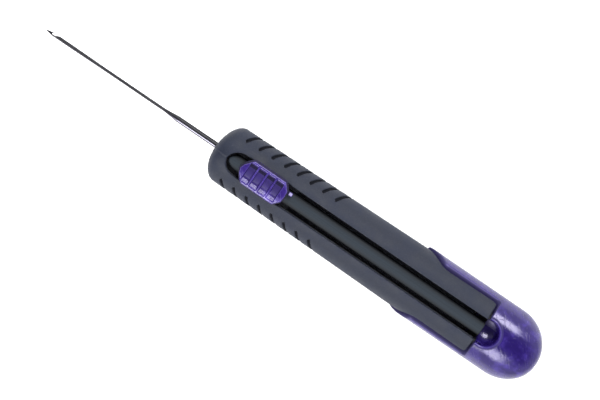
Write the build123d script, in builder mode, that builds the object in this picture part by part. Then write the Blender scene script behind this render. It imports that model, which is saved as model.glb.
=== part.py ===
from build123d import *
from math import atan2, degrees, hypot
import os

os.makedirs("parts", exist_ok=True)

# Retractable hook needle threader, millimetres, +Z up out of the face with the thumb slide.
# The needle points along -X and the rounded butt is at +X. The origin is on the resting
# plane, under the middle of the whole tool with its needle out. Stations are measured back
# from the nose face and turned into X by station().

# ---- Driving dimensions ----
needle_reach = 51.6  # hook tip ahead of the nose with the slider forward
handle_length = 97.15
travel = 53.8  # slider stroke, which takes the hook tip inside the nose
axis_z = 7.1  # height of the handle's centre line over the resting plane
needle_z = 6.2  # height of the needle's axis

nose_length = 4.44  # nose dome, along the tool
grip_half_width = 7.78  # where the nose dome starts
grip_rear_half_width = 8.87  # at the rear edge of the rubber
grip_half_height = 7.2
grip_length = 80.7  # nose to the rear edge of the rubber
cap_half_width = 9.25
cap_half_height = 7.5
butt_length = 9.8  # butt dome, along the tool
part_gap = 0.22  # shadow line between rubber and cap

core_half_width = 6.2
core_half_height = 5.9
core_front = 2.4
core_rear = 86.4
cavity_half_width = 3.6
cavity_floor = 3.2
cavity_roof = 9.6
cavity_front = 8.4

channel_front = 4.0
channel_half_width = 3.05
channel_nose_length = 3.6
rail_half_width = 1.75
rail_front = 4.55
rail_nose_length = 2.9
rail_top = 13.6
rail_shoulder = 13.1

cheek_half_height = 3.45
cheek_upper_front = 63.8  # station of the front edge's upper corner
cheek_front = 57.6  # station where the front edge's two slants would meet
cheek_tip_drop = 1.95  # how far that corner lies under the centre line
cheek_lower_front = 59.3  # station of the lower corner
cheek_corner_radius = 1.1
well_station = 81.9
well_radius = 2.8
well_rim_radius = 4.1
well_throat = 9.6  # height where the well's cone meets its dished floor
well_dish_radius = 5.5

button_front = 7.6
button_length = 14.1
button_half_width = 3.72
button_shoulder_half_width = 3.22
button_underside = 14.25
button_crown = 16.3

carriage_front = 8.6
carriage_length = 15.0
carriage_half_width = 3.45
carriage_floor = 3.4
carriage_roof = 9.4

shank_radius = 0.8
blade_radius = 0.42
hook_radius = 0.5
needle_rear = 22.0
cone_front = 15.5
cone_rear = 11.5
bush_front = 0.15
bush_radius = 1.5
bush_bore_radius = 0.86
chuck_radius = 1.7
chuck_front = 10.4
chuck_length = 12.4
set_screw_radius = 0.95
set_screw_station = 21.0
set_screw_length = 2.5
spring_front = 10.3
spring_length = 7.4
spring_half_width = 1.3
spring_thickness = 0.24
spring_high = 4.0
spring_low = 3.06
spring_recess = 0.8

nose_x = needle_reach - (needle_reach + handle_length) / 2


def station(distance):
    """X of a section that lies a distance behind the nose face."""
    return nose_x + distance


def section(distance):
    """Cross-section plane a distance behind the nose, local axes Y and Z, on the centre line."""
    return Plane(origin=(station(distance), 0, axis_z), x_dir=(0, 1, 0), z_dir=(1, 0, 0))


def needle_section(distance):
    """Cross-section plane a distance behind the nose, on the needle's axis."""
    return Plane(origin=(station(distance), 0, needle_z), x_dir=(0, 1, 0), z_dir=(1, 0, 0))


# ---- Shared forms: outer shapes and clearance volumes ----

# Domes are half ellipses turned about X, then squashed to the handle's height.
with BuildPart() as nose_dome:
    with BuildSketch(Plane.XZ):
        Ellipse(nose_length, grip_half_width)
        Rectangle(2 * nose_length, grip_half_width, align=(Align.CENTER, Align.MAX), mode=Mode.SUBTRACT)
    revolve(axis=Axis.X)
    scale(by=(1, 1, grip_half_height / grip_half_width))

with BuildPart() as butt_dome:
    with BuildSketch(Plane.XZ):
        Ellipse(butt_length, cap_half_width)
        Rectangle(2 * butt_length, cap_half_width, align=(Align.CENTER, Align.MAX), mode=Mode.SUBTRACT)
    revolve(axis=Axis.X)
    scale(by=(1, 1, cap_half_height / cap_half_width))

# Everything below the resting plane is cut off, which leaves a narrow flat along the belly.
with BuildPart() as below_table:
    with Locations((0, 0, -5)):
        Box(2 * handle_length, 4 * cap_half_width, 10)

with BuildPart() as grip_form:
    with BuildSketch(section(nose_length)):
        Ellipse(grip_half_width, grip_half_height)
    with BuildSketch(section(grip_length)):
        Ellipse(grip_rear_half_width, grip_half_height)
    loft(ruled=True)
    add(nose_dome.part.moved(Location((station(nose_length), 0, axis_z))))
    add(below_table.part, mode=Mode.SUBTRACT)

with BuildPart() as core_form:
    with BuildSketch(section(core_front)):
        Ellipse(core_half_width, core_half_height)
    extrude(amount=core_rear - core_front)
    fillet(core_form.faces().sort_by(Axis.X)[0].edges(), radius=2)

# The cheeks are the side strips of the cap. In the side view their front edge slants down and
# forward to a blunt tip, and the recesses in the sleeve follow the same outline.
with BuildSketch(Plane.XZ) as cheek_outline:
    with BuildLine():
        Polyline(
            (station(cheek_upper_front), axis_z + cheek_half_height),
            (station(cheek_front), axis_z - cheek_tip_drop),
            (station(cheek_lower_front), axis_z - cheek_half_height),
            (station(handle_length), axis_z - cheek_half_height),
            (station(handle_length), axis_z + cheek_half_height),
            close=True,
        )
    make_face()
    fillet(cheek_outline.vertices().sort_by(Axis.X)[:3], radius=cheek_corner_radius)

with BuildPart() as cheek_zone:
    with BuildSketch(Plane.XZ.offset(-2 * cap_half_width)):
        add(cheek_outline.sketch_local)
    extrude(amount=4 * cap_half_width)

with BuildPart() as cheek_recess:
    with BuildSketch(Plane.XZ.offset(-2 * cap_half_width)):
        add(cheek_outline.sketch_local)
        offset(amount=part_gap)
    extrude(amount=4 * cap_half_width)

# Channel outline seen from above: straight sides and a long rounded front end.
with BuildPart() as channel_volume:
    with BuildSketch(Plane.XY.offset(cavity_roof)):
        with Locations((station(channel_front) + channel_nose_length, 0)):
            Ellipse(channel_nose_length, channel_half_width)
            Rectangle(handle_length, 2 * channel_half_width, align=(Align.MIN, Align.CENTER))
    extrude(amount=8)

# ---- Core tray: stiff chassis, a tube with a slot along its top ----
rail_foot_front = rail_front + 0.9
rail_foot_length = 2.4
rail_foot_bottom = 8.6
tray_tail = 80.95  # from here back the tray is an open trough that the cap's plug fills
detent_depth = 0.35
detent_length = 1.6
detent_station = 14.0
lug_station = 83.9
lug_z = 6.2
lug_size = 2.4

with BuildPart() as core_tray:
    add(core_form.part)
    with BuildSketch(section(cavity_front)):
        with Locations((0, (cavity_roof + cavity_floor) / 2 - axis_z)):
            Rectangle(2 * cavity_half_width, cavity_roof - cavity_floor)
    extrude(amount=handle_length, mode=Mode.SUBTRACT)
    # Slot for the button's legs, on both sides of the rail.
    add(channel_volume.part, mode=Mode.SUBTRACT)
    # Open trough at the tail.
    with BuildSketch(Plane.XY.offset(cavity_roof)):
        with Locations((station(tray_tail), 0)):
            Rectangle(handle_length, 2 * cavity_half_width, align=(Align.MIN, Align.CENTER))
    extrude(amount=8, mode=Mode.SUBTRACT)
    # Socket for the rail's front foot.
    with BuildSketch(Plane.XY.offset(rail_foot_bottom)):
        with Locations((station(rail_foot_front), 0)):
            Rectangle(rail_foot_length, 2 * rail_half_width, align=(Align.MIN, Align.CENTER))
    extrude(amount=2, mode=Mode.SUBTRACT)
    # Seat for the needle's bush, right through the nose block.
    with BuildSketch(needle_section(0)):
        Circle(bush_radius)
    extrude(amount=cavity_front + 1, mode=Mode.SUBTRACT)
    # One detent notch across the floor for each end of the travel.
    with Locations(
        (station(detent_station), 0, cavity_floor), (station(detent_station + travel), 0, cavity_floor)
    ):
        Box(detent_length, 2 * cavity_half_width, 2 * detent_depth, mode=Mode.SUBTRACT)
    # Windows that the cap's snap lugs click into.
    with Locations((station(lug_station), 0, lug_z)):
        Box(lug_size, 4 * core_half_width, lug_size, mode=Mode.SUBTRACT)

# ---- Grip sleeve: soft rubber over the tray ----
groove_count = 8
groove_pitch = 3.8
groove_first = 5.9  # station of the first groove's upper end
groove_width = 0.7
groove_depth = 0.6
groove_rise = 4.5  # the upper end's height over the centre line
groove_lean = 2.75  # how far back the groove has run at the centre line
groove_run = 2 * hypot(groove_rise, groove_lean) + groove_width
groove_angle = -degrees(atan2(groove_rise, groove_lean))

with BuildPart() as flank_skin_limit:
    with BuildSketch(section(0)):
        Ellipse(grip_half_width - groove_depth, grip_half_height - groove_depth)
    with BuildSketch(section(grip_length)):
        Ellipse(grip_rear_half_width - groove_depth, grip_half_height - groove_depth)
    loft(ruled=True)

with BuildPart() as flank_grooves:
    with BuildSketch(Plane.XZ.offset(-2 * cap_half_width)):
        for number in range(groove_count):
            middle = station(groove_first + number * groove_pitch) + groove_lean
            with Locations(Location((middle, axis_z), groove_angle)):
                SlotOverall(groove_run, groove_width)
    extrude(amount=4 * cap_half_width)
    add(flank_skin_limit.part, mode=Mode.SUBTRACT)

with BuildPart() as grip_sleeve:
    add(grip_form.part)
    add(core_form.part, mode=Mode.SUBTRACT)
    add(cheek_recess.part, mode=Mode.SUBTRACT)
    add(channel_volume.part, mode=Mode.SUBTRACT)
    add(flank_grooves.part, mode=Mode.SUBTRACT)
    # Hole that the bush shows through.
    with BuildSketch(needle_section(-2)):
        Circle(bush_radius)
    extrude(amount=8, mode=Mode.SUBTRACT)

# ---- Guide rail: convex strip down the middle of the channel, held at both ends ----
rail_tab_length = 2.4
rail_tab_bottom = 8.4
rail_tab_top = cavity_roof - 0.05

with BuildPart() as guide_rail:
    with BuildSketch(section(rail_front)):
        with BuildLine():
            Polyline(
                (-rail_half_width, rail_shoulder - axis_z),
                (-rail_half_width, cavity_roof - axis_z),
                (rail_half_width, cavity_roof - axis_z),
                (rail_half_width, rail_shoulder - axis_z),
            )
            ThreePointArc(
                (rail_half_width, rail_shoulder - axis_z),
                (0, rail_top - axis_z),
                (-rail_half_width, rail_shoulder - axis_z),
            )
        make_face()
    extrude(amount=grip_length - rail_front)
    # Long rounded front end, seen from above.
    with BuildSketch(Plane.XY.offset(cavity_roof - 1)):
        with Locations((station(rail_front) + rail_nose_length, 0)):
            Ellipse(rail_nose_length, rail_half_width)
            Rectangle(handle_length, 2 * rail_half_width, align=(Align.MIN, Align.CENTER))
    extrude(amount=8, mode=Mode.INTERSECT)
    # Front foot, plugged into the tray's nose block.
    with Locations((station(rail_foot_front), 0, rail_foot_bottom)):
        Box(
            rail_foot_length,
            2 * rail_half_width - 0.1,
            cavity_roof - rail_foot_bottom + 0.5,
            align=(Align.MIN, Align.CENTER, Align.MIN),
        )
    # Rear tab, wider than the slot, trapped under the tray's ledges.
    with Locations((station(grip_length), 0, rail_tab_bottom)):
        Box(
            rail_tab_length,
            2 * carriage_half_width,
            rail_tab_top - rail_tab_bottom,
            align=(Align.MAX, Align.CENTER, Align.MIN),
        )
        Box(
            rail_tab_length,
            2 * rail_half_width,
            cavity_roof + 0.5 - rail_tab_bottom,
            align=(Align.MAX, Align.CENTER, Align.MIN),
        )

# ---- End cap: domed butt, side cheeks, a plug inside the tray and the well on top ----
plug_front = 77.8
plug_clearance = 0.05
plug_half_width = cavity_half_width - plug_clearance
lug_reach = 4.6

with BuildPart() as tongue_opening:
    with BuildSketch(section(cheek_front - 5)):
        Rectangle(4 * cap_half_width, 4 * cap_half_height)
    extrude(amount=grip_length + part_gap - cheek_front + 5)
    add(cheek_zone.part, mode=Mode.SUBTRACT)

with BuildPart() as well_dish:
    with Locations((station(well_station), 0, well_throat + (well_dish_radius**2 - well_radius**2) ** 0.5)):
        Sphere(well_dish_radius)
    with Locations((station(well_station), 0, well_throat)):
        Box(
            4 * well_dish_radius,
            4 * well_dish_radius,
            4 * well_dish_radius,
            align=(Align.CENTER, Align.CENTER, Align.MAX),
            mode=Mode.INTERSECT,
        )

with BuildPart() as end_cap:
    with BuildSketch(section(cheek_front - 1)):
        Ellipse(cap_half_width, cap_half_height)
    extrude(amount=handle_length - butt_length - cheek_front + 1)
    add(butt_dome.part.moved(Location((station(handle_length - butt_length), 0, axis_z))))
    add(below_table.part, mode=Mode.SUBTRACT)
    add(tongue_opening.part, mode=Mode.SUBTRACT)
    add(core_form.part, mode=Mode.SUBTRACT)
    with Locations((station(plug_front), 0, cavity_floor + plug_clearance)):
        Box(
            core_rear - plug_front + 1,
            2 * plug_half_width,
            rail_tab_bottom - cavity_floor - 2 * plug_clearance,
            align=(Align.MIN, Align.CENTER, Align.MIN),
        )
    with Locations((station(tray_tail), 0, rail_tab_bottom - 1)):
        Box(
            core_rear - tray_tail + 1,
            2 * plug_half_width,
            axis_z + core_half_height + 0.6 - rail_tab_bottom + 1,
            align=(Align.MIN, Align.CENTER, Align.MIN),
        )
    with Locations((station(lug_station), 0, lug_z)):
        Box(lug_size - 0.2, 2 * lug_reach, lug_size - 0.2)
    with BuildSketch(Plane.XY.offset(well_throat)):
        with Locations((station(well_station), 0)):
            Circle(well_radius)
    with BuildSketch(Plane.XY.offset(axis_z + cap_half_height)):
        with Locations((station(well_station), 0)):
            Circle(well_rim_radius)
    loft(mode=Mode.SUBTRACT)
    add(well_dish.part, mode=Mode.SUBTRACT)

# ---- Nose bush: metal tube that the needle slides through ----
with BuildPart() as nose_bush:
    with BuildSketch(needle_section(bush_front)):
        Circle(bush_radius)
        Circle(bush_bore_radius, mode=Mode.SUBTRACT)
    extrude(amount=cavity_front - bush_front)
    chamfer(nose_bush.faces().sort_by(Axis.X)[0].edges(), length=0.12)

# ---- Thumb button: ribbed plate over the rail, with two snap legs astride it ----
leg_inner = 2.05
leg_outer = 2.75
leg_front = 10.5
leg_length = 9.0
leg_bottom = 5.4
barb_reach = 3.1
barb_length = 4.0
barb_height = 1.0
leg_x = station(leg_front + leg_length / 2)
leg_y = (leg_inner + leg_outer) / 2
rib_count = 4
rib_pitch = 2.57
scallop_radius = 1.25
scallop_depth = 0.5
button_shoulder = 15.85
button_middle = button_front + button_length / 2
nib_offset = 1.3

with BuildPart() as slide_button:
    with BuildSketch(section(button_front)):
        with BuildLine():
            Polyline(
                (-button_shoulder_half_width, button_shoulder - axis_z),
                (-button_half_width, button_underside - axis_z),
                (button_half_width, button_underside - axis_z),
                (button_shoulder_half_width, button_shoulder - axis_z),
            )
            ThreePointArc(
                (button_shoulder_half_width, button_shoulder - axis_z),
                (0, button_crown - axis_z),
                (-button_shoulder_half_width, button_shoulder - axis_z),
            )
        make_face()
    extrude(amount=button_length)
    # Long octagon seen from above, with a rounder front.
    with BuildSketch(Plane.XY.offset(button_underside)):
        with BuildLine():
            outline = Polyline(
                (station(button_front), 0),
                (station(button_front + 0.55), 1.5),
                (station(button_front + 2.5), button_half_width),
                (station(button_front + button_length - 1.9), button_half_width),
                (station(button_front + button_length - 0.15), 1.7),
                (station(button_front + button_length), 0),
            )
            mirror(outline, about=Plane.XZ)
        make_face()
    extrude(amount=6, mode=Mode.INTERSECT)
    # Scallops across the top leave ribs between them for the thumb.
    for number in range(rib_count):
        scallop_station = button_middle + (number - (rib_count - 1) / 2) * rib_pitch
        with Locations(
            Location(
                (station(scallop_station), 0, button_crown - scallop_depth + scallop_radius), (90, 0, 0)
            )
        ):
            Cylinder(scallop_radius, 2 * (button_half_width - 1.1), mode=Mode.SUBTRACT)
    for side in (-1, 1):
        with Locations((leg_x, side * leg_y, leg_bottom)):
            Box(
                leg_length,
                leg_outer - leg_inner,
                button_underside + 0.5 - leg_bottom,
                align=(Align.CENTER, Align.CENTER, Align.MIN),
            )
        with Locations((leg_x, side * (leg_inner + barb_reach) / 2, leg_bottom)):
            Box(
                barb_length,
                barb_reach - leg_inner,
                barb_height,
                align=(Align.CENTER, Align.CENTER, Align.MIN),
            )
    # Moulding nib left on the rear edge.
    with Locations((station(button_front + button_length - 0.5), nib_offset, button_underside)):
        Box(1.2, 0.8, 0.5, align=(Align.MIN, Align.CENTER, Align.MIN))

# ---- Carriage: runs in the tray under the rail ----
with BuildPart() as slide_carriage:
    with Locations((station(carriage_front), 0, carriage_floor)):
        Box(
            carriage_length,
            2 * carriage_half_width,
            carriage_roof - carriage_floor,
            align=(Align.MIN, Align.CENTER, Align.MIN),
        )
    chamfer(slide_carriage.edges().filter_by(Axis.X), length=0.3)
    # Bore for the chuck, open at the rear, and the needle's way out in front.
    with BuildSketch(needle_section(chuck_front)):
        Circle(chuck_radius)
    extrude(amount=carriage_length, mode=Mode.SUBTRACT)
    with BuildSketch(needle_section(carriage_front)):
        Circle(shank_radius + 0.1)
    extrude(amount=carriage_length, mode=Mode.SUBTRACT)
    for side in (-1, 1):
        # Socket for a leg of the button, and the window that its barb catches in.
        with Locations((leg_x, side * leg_y, leg_bottom - 0.1)):
            Box(
                leg_length + 0.1,
                leg_outer - leg_inner + 0.1,
                carriage_roof - leg_bottom + 1,
                align=(Align.CENTER, Align.CENTER, Align.MIN),
                mode=Mode.SUBTRACT,
            )
        with Locations((leg_x, side * carriage_half_width, leg_bottom - 0.1)):
            Box(
                barb_length + 0.1,
                2 * (carriage_half_width - leg_outer) + 0.2,
                barb_height + 0.2,
                align=(Align.CENTER, Align.CENTER, Align.MIN),
                mode=Mode.SUBTRACT,
            )
    # Cross hole for the set screw.
    with BuildSketch(Plane.XZ):
        with Locations((station(set_screw_station), needle_z)):
            Circle(set_screw_radius)
    extrude(amount=carriage_half_width + 1, mode=Mode.SUBTRACT)
    # Recess for the leaf spring.
    with Locations((station(spring_front - 0.2), 0, carriage_floor - 0.5)):
        Box(
            spring_length + 0.4,
            2 * spring_half_width + 0.2,
            0.5 + spring_recess,
            align=(Align.MIN, Align.CENTER, Align.MIN),
            mode=Mode.SUBTRACT,
        )

# ---- Detent spring: bent steel leaf under the carriage ----
with BuildPart() as detent_spring:
    with BuildSketch(Plane.XZ.offset(-spring_half_width)):
        with BuildLine():
            Polyline(
                (station(spring_front), spring_high),
                (station(detent_station - 1.5), spring_high - 0.25),
                (station(detent_station), spring_low),
                (station(detent_station + 1.5), spring_high - 0.25),
                (station(spring_front + spring_length), spring_high),
            )
        trace(line_width=spring_thickness)
    extrude(amount=2 * spring_half_width)

# ---- Needle chuck: brass insert that holds the shank ----
with BuildPart() as needle_chuck:
    with BuildSketch(needle_section(chuck_front)):
        Circle(chuck_radius)
    extrude(amount=chuck_length)
    chamfer(needle_chuck.edges().filter_by(GeomType.CIRCLE), length=0.2)
    with BuildSketch(needle_section(chuck_front)):
        Circle(shank_radius)
    extrude(amount=needle_rear - chuck_front, mode=Mode.SUBTRACT)
    with BuildSketch(Plane.XZ):
        with Locations((station(set_screw_station), needle_z)):
            Circle(set_screw_radius)
    extrude(amount=chuck_radius + 1, mode=Mode.SUBTRACT)

# ---- Set screw: clamps the shank from the side ----
with BuildPart() as chuck_screw:
    with BuildSketch(Plane.XZ.offset(shank_radius)):
        with Locations((station(set_screw_station), needle_z)):
            Circle(set_screw_radius)
    extrude(amount=set_screw_length)
    with BuildSketch(Plane.XZ.offset(shank_radius + set_screw_length - 0.9)):
        with Locations((station(set_screw_station), needle_z)):
            RegularPolygon(0.5, 6)
    extrude(amount=1, mode=Mode.SUBTRACT)

# ---- Hook needle: shank, cone, thin blade and a one-sided barbed hook ----
with BuildPart() as hook_needle:
    with BuildSketch(Plane.XZ):
        with BuildLine():
            Polyline(
                (station(-needle_reach), needle_z),
                (station(-needle_reach + 0.25), needle_z + 0.12),
                (station(-needle_reach + 2.1), needle_z + hook_radius),
                (station(-needle_reach + 8), needle_z + hook_radius),
                (station(-needle_reach + 18), needle_z + blade_radius),
                (station(-cone_front), needle_z + blade_radius),
                (station(-cone_rear), needle_z + shank_radius),
                (station(needle_rear), needle_z + shank_radius),
                (station(needle_rear), needle_z),
                close=True,
            )
        make_face()
    revolve(axis=Axis((0, 0, needle_z), (1, 0, 0)))
    # Throat behind the barb, open to one side.
    with BuildSketch(Plane.XY.offset(needle_z - 1)):
        with BuildLine():
            Polyline(
                (station(-48.95), 0.7),
                (station(-49.0), 0.3),
                (station(-49.9), 0.14),
                (station(-49.65), -0.08),
                (station(-48.85), -0.1),
                (station(-47.6), hook_radius + 0.02),
                (station(-47.6), 0.7),
                close=True,
            )
        make_face()
    extrude(amount=2, mode=Mode.SUBTRACT)

# ---- Write every piece to its own file ----
pieces = {
    "core_tray": core_tray,
    "grip_sleeve": grip_sleeve,
    "guide_rail": guide_rail,
    "end_cap": end_cap,
    "nose_bush": nose_bush,
    "slide_button": slide_button,
    "slide_carriage": slide_carriage,
    "detent_spring": detent_spring,
    "needle_chuck": needle_chuck,
    "chuck_screw": chuck_screw,
    "hook_needle": hook_needle,
}
for name, piece in pieces.items():
    piece.part.label = name
    export_step(piece.part, f"parts/{name}.step")
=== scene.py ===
import math
import bpy
import numpy as np
from mathutils import Matrix, Vector


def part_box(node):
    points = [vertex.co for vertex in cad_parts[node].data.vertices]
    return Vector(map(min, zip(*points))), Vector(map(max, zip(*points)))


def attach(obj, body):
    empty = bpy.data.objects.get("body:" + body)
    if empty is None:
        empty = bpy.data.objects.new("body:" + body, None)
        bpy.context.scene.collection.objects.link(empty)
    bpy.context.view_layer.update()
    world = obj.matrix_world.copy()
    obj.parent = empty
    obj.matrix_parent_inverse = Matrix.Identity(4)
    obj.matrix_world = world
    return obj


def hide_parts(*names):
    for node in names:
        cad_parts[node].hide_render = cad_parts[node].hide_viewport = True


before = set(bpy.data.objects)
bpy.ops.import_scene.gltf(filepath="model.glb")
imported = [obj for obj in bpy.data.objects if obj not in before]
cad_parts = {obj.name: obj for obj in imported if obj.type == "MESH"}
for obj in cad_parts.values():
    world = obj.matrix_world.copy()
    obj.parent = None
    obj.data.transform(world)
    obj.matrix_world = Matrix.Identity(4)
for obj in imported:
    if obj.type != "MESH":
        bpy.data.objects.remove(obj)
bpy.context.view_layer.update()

# The looks of a retractable hook needle threader: rubber grip, purple cap, slide button, steel
# needle. Forms are worked out in millimetres as signed distances, negative inside, of the station
# behind the nose face (s), the side (y) and the height over the resting plane (z). A form's
# argument soft scales the rounding of its edges.
MM = 0.001
HANDLE_LENGTH = 97.15
NOSE_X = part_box("end_cap")[1].x / MM - HANDLE_LENGTH  # X of the nose face

AXIS_Z = 7.1  # height of the handle's centre line
NEEDLE_Z = 6.2
NOSE_LENGTH = 4.44
GRIP_LENGTH = 80.7  # up to the rail's rear end
GRIP_END = 80.4  # station of the rubber's rear edge
GRIP_HALF_WIDTH = 7.78  # behind the nose dome
GRIP_REAR_HALF_WIDTH = 8.87
GRIP_HALF_HEIGHT = 7.2
CAP_HALF_WIDTH = 9.25
CAP_HALF_HEIGHT = 7.5
BUTT_LENGTH = 9.8
TIP_RISE = 3.0  # how far the domes' tips lie above the centre line
CORE_HALF_WIDTH = 6.2
CORE_HALF_HEIGHT = 5.9
CORE_FRONT = 2.4
CORE_REAR = 86.4
CORE_FRONT_EDGE = 2.0
CORE_ROOM = 0.04  # between the core and the skin moulded over it

NOSE_POWER = 1.85  # of the channel's and the rail's front ends: 2 is an ellipse, less is more pointed
CHANNEL_FRONT = 4.0
CHANNEL_NOSE = 3.6
CHANNEL_HALF_WIDTH = 3.05
RAIL_FRONT = 4.55
RAIL_NOSE = 2.9
RAIL_HALF_WIDTH = 1.75
RAIL_TOP = 13.6
RAIL_SHOULDER = 13.1
CAVITY_ROOF = 9.6

CHEEK_HALF_HEIGHT = 3.45
CHEEK_UPPER_FRONT = 63.8
CHEEK_FRONT = 58.1
CHEEK_TIP_DROP = 1.95
CHEEK_LOWER_FRONT = 59.8
CHEEK_CORNER = 1.1
PART_GAP = 0.42
GRIP_CORNER = 0.8  # where the cheek's upper edge meets the rear part

WELL_STATION = 81.9
WELL_RADIUS = 2.8
WELL_RIM = 3.6
WELL_THROAT = 9.6
WELL_DISH_RADIUS = 5.5
WELL_DISH_OFFSET = 1.1  # of the dish's lowest point towards +Y

BUTTON_FRONT = 7.6
BUTTON_LENGTH = 14.1
BUTTON_HALF_WIDTH = 3.72
BUTTON_UNDERSIDE = 14.25
BUTTON_SHOULDER = 15.85
BUTTON_CROWN = 16.3
BUTTON_DRAFT = 0.5  # how far the walls lean in up to the shoulder
BUTTON_REAR = BUTTON_FRONT + BUTTON_LENGTH

BUSH_RADIUS = 1.5


# ---- Distance fields ----

def round_join(a, b, r):
    """Both forms at once, with the edge where they meet rounded to radius r."""
    return np.minimum(np.maximum(a, b), -r) + np.hypot(np.maximum(a + r, 0), np.maximum(b + r, 0))


def round_cut(form, tool, r):
    """Form with tool cut out of it, the rim of the cut rounded to radius r."""
    return round_join(form, -tool, r)


def fillet_union(a, b, r):
    """Either form, with a fillet of radius r in the inner corner between them."""
    return -round_join(-a, -b, r)


def ellipse(u, v, a, b):
    """Distance to an ellipse with half axes a and b, exact at its outline."""
    k0 = np.hypot(u / a, v / b)
    k1 = np.hypot(u / a**2, v / b**2)
    return k0 * (k0 - 1) / np.maximum(k1, 1e-6)


def ellipsoid(u, v, w, a, b, c):
    k0 = np.sqrt((u / a) ** 2 + (v / b) ** 2 + (w / c) ** 2)
    k1 = np.sqrt((u / a**2) ** 2 + (v / b**2) ** 2 + (w / c**2) ** 2)
    return k0 * (k0 - 1) / np.maximum(k1, 1e-6)


def span(u, low, high):
    """Distance to the slab from low to high."""
    return np.maximum(low - u, u - high)


def capsule(u, v, start, end, radius):
    """Distance to a round-ended strip from start to end."""
    du, dv = end[0] - start[0], end[1] - start[1]
    along = np.clip(((u - start[0]) * du + (v - start[1]) * dv) / (du * du + dv * dv), 0, 1)
    return np.hypot(u - start[0] - along * du, v - start[1] - along * dv) - radius


def round_polygon(u, v, corners, r):
    """Distance to a convex outline, given counter-clockwise, with every corner rounded."""
    result = None
    for (u0, v0), (u1, v1) in zip(corners, corners[1:] + corners[:1]):
        length = math.hypot(u1 - u0, v1 - v0)
        side = ((u - u0) * (v1 - v0) - (v - v0) * (u1 - u0)) / length
        result = side if result is None else round_join(result, side, r)
    return result


def pointed_strip(s, y, front, nose, half_width):
    """Distance to a strip with straight sides and a long, slightly pointed front end."""
    ahead = np.maximum(front + nose - s, 0) / nose
    reach = (ahead**NOSE_POWER + (np.abs(y) / half_width) ** NOSE_POWER) ** (1 / NOSE_POWER)
    return (reach - 1) * half_width


def arc_radius(half_width, rise):
    """Radius of an arc that rises by rise over a half chord."""
    return (half_width**2 + rise**2) / (2 * rise)


# ---- Surface nets: a quad mesh on the zero surface of a field ----

def lines(*runs):
    """Grid lines from runs of (first, last, step)."""
    made = [np.linspace(a, b, max(2, round((b - a) / step) + 1)) for a, b, step in runs]
    return np.unique(np.round(np.concatenate(made), 6))


def mirrored(*runs):
    """Grid lines on both sides of zero, from runs of (first, last, step) that start at zero."""
    half = lines(*runs)
    return np.unique(np.concatenate([-half, half]))


def gradient(field, p):
    """Direction in which the field grows, from differences over a short reach."""
    reach = 0.004
    columns = []
    for axis in range(3):
        step = np.zeros(3)
        step[axis] = reach
        columns.append(field(*(p + step).T) - field(*(p - step).T))
    return np.stack(columns, 1) / (2 * reach)


def surface(field, grid):
    """Points, quads and outward normals of the field's zero surface on a grid."""
    xs, ys, zs = grid
    value = field(xs[:, None, None], ys[None, :, None], zs[None, None, :])
    value = np.broadcast_to(value, (len(xs), len(ys), len(zs)))
    inside = value < 0
    filled = np.zeros([n - 1 for n in inside.shape], np.int8)
    corners = [(i, j, k) for i in (0, 1) for j in (0, 1) for k in (0, 1)]
    for i, j, k in corners:
        filled += inside[i:i + len(xs) - 1, j:j + len(ys) - 1, k:k + len(zs) - 1]
    mixed = (filled > 0) & (filled < 8)
    index = np.full(mixed.shape, -1)
    index[mixed] = np.arange(mixed.sum())
    cells = np.argwhere(mixed)

    total = np.zeros((len(cells), 3))
    count = np.zeros(len(cells))
    for first in corners:
        for axis in range(3):
            if first[axis]:
                continue
            a = cells + first
            b = a.copy()
            b[:, axis] += 1
            va, vb = value[tuple(a.T)], value[tuple(b.T)]
            crossed = (va < 0) != (vb < 0)
            share = np.where(crossed, va / np.where(crossed, va - vb, 1), 0)[:, None]
            pa = np.stack([xs[a[:, 0]], ys[a[:, 1]], zs[a[:, 2]]], 1)
            pb = np.stack([xs[b[:, 0]], ys[b[:, 1]], zs[b[:, 2]]], 1)
            total += np.where(crossed[:, None], pa + share * (pb - pa), 0)
            count += crossed
    points = total / count[:, None]

    # Newton steps onto the surface, none longer than most of a cell.
    widest = 0.6 * np.stack([np.diff(g)[cells[:, n]] for n, g in enumerate(grid)], 1)
    for _ in range(3):
        slope = gradient(field, points)
        step = field(*points.T) / np.maximum((slope**2).sum(1), 0.1)
        points = points - np.clip(step[:, None] * slope, -widest, widest)
    normals = gradient(field, points)
    normals /= np.maximum(np.linalg.norm(normals, axis=1), 1e-9)[:, None]

    quads = []
    for axis in range(3):
        u, v = (axis + 1) % 3, (axis + 2) % 3
        low = np.take(inside, range(inside.shape[axis] - 1), axis)
        high = np.take(inside, range(1, inside.shape[axis]), axis)
        edge = np.argwhere(low != high)
        keep = (edge[:, u] > 0) & (edge[:, v] > 0)
        keep &= (edge[:, u] < inside.shape[u] - 1) & (edge[:, v] < inside.shape[v] - 1)
        edge = edge[keep]
        ring = []
        for back_u, back_v in ((1, 1), (0, 1), (0, 0), (1, 0)):
            cell = edge.copy()
            cell[:, u] -= back_u
            cell[:, v] -= back_v
            ring.append(index[tuple(cell.T)])
        ring = np.stack(ring, 1)
        outward = low[tuple(edge.T)]
        quads.append(np.where(outward[:, None], ring, ring[:, ::-1]))
    return points, np.concatenate(quads), normals


SOFT, SHARP = 1, 0.001  # factors on a piece's edge roundings: as made, and next to none


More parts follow.
